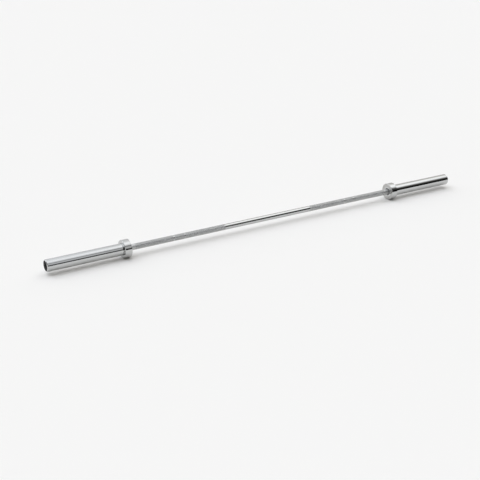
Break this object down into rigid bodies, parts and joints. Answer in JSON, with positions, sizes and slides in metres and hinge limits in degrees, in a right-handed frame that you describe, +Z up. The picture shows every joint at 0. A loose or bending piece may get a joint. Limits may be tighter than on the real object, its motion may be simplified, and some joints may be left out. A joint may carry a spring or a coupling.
{
  "type": "barbell",
  "caption": "Long chromed steel bar with knurled grips and a free-turning sleeve on each end for disc weights; the sleeves have stop collars and black end caps.",
  "frame": {"origin": "the middle of the shaft, on its axis", "axes": "+X along the shaft towards the right sleeve, +Z up; the bar rests on its two collars, whose lowest flats are at -Z"},
  "size_m": [2.01, 0.0756, 0.0756],
  "materials": {
    "shaft_chrome": "satin hard chrome, bright on the plain stretches",
    "bright_chrome": "bright polished chrome",
    "bushing_bronze": "machined bronze",
    "washer_steel": "ground steel",
    "spring_steel": "blackened spring steel",
    "black_rubber": "matte rubber",
    "black_plastic": "moulded black plastic"
  },
  "bodies": {
    "shaft": {"shaft": "shaft_chrome", "left_shaft_retaining_ring": "spring_steel", "right_shaft_retaining_ring": "spring_steel"},
    "left_sleeve": {"left_sleeve_tube": "bright_chrome", "left_collar_ring": "bright_chrome", "left_shaft_seal": "black_rubber", "left_inner_thrust_washer": "washer_steel", "left_inner_bushing": "bushing_bronze", "left_outer_bushing": "bushing_bronze", "left_outer_thrust_washer": "washer_steel", "left_cap_rubber_ring": "black_rubber", "left_end_cap": "black_plastic", "left_cap_retaining_ring": "spring_steel"},
    "right_sleeve": {"right_sleeve_tube": "bright_chrome", "right_collar_ring": "bright_chrome", "right_shaft_seal": "black_rubber", "right_inner_thrust_washer": "washer_steel", "right_inner_bushing": "bushing_bronze", "right_outer_bushing": "bushing_bronze", "right_outer_thrust_washer": "washer_steel", "right_cap_rubber_ring": "black_rubber", "right_end_cap": "black_plastic", "right_cap_retaining_ring": "spring_steel"}
  },
  "joints": [
    {"name": "left_sleeve_spin", "type": "hinge", "parent": "shaft", "child": "left_sleeve", "pos_m": [-0.655, 0, 0], "axis": [1, 0, 0], "continuous": true},
    {"name": "right_sleeve_spin", "type": "hinge", "parent": "shaft", "child": "right_sleeve", "pos_m": [0.655, 0, 0], "axis": [1, 0, 0], "continuous": true}
  ]
}
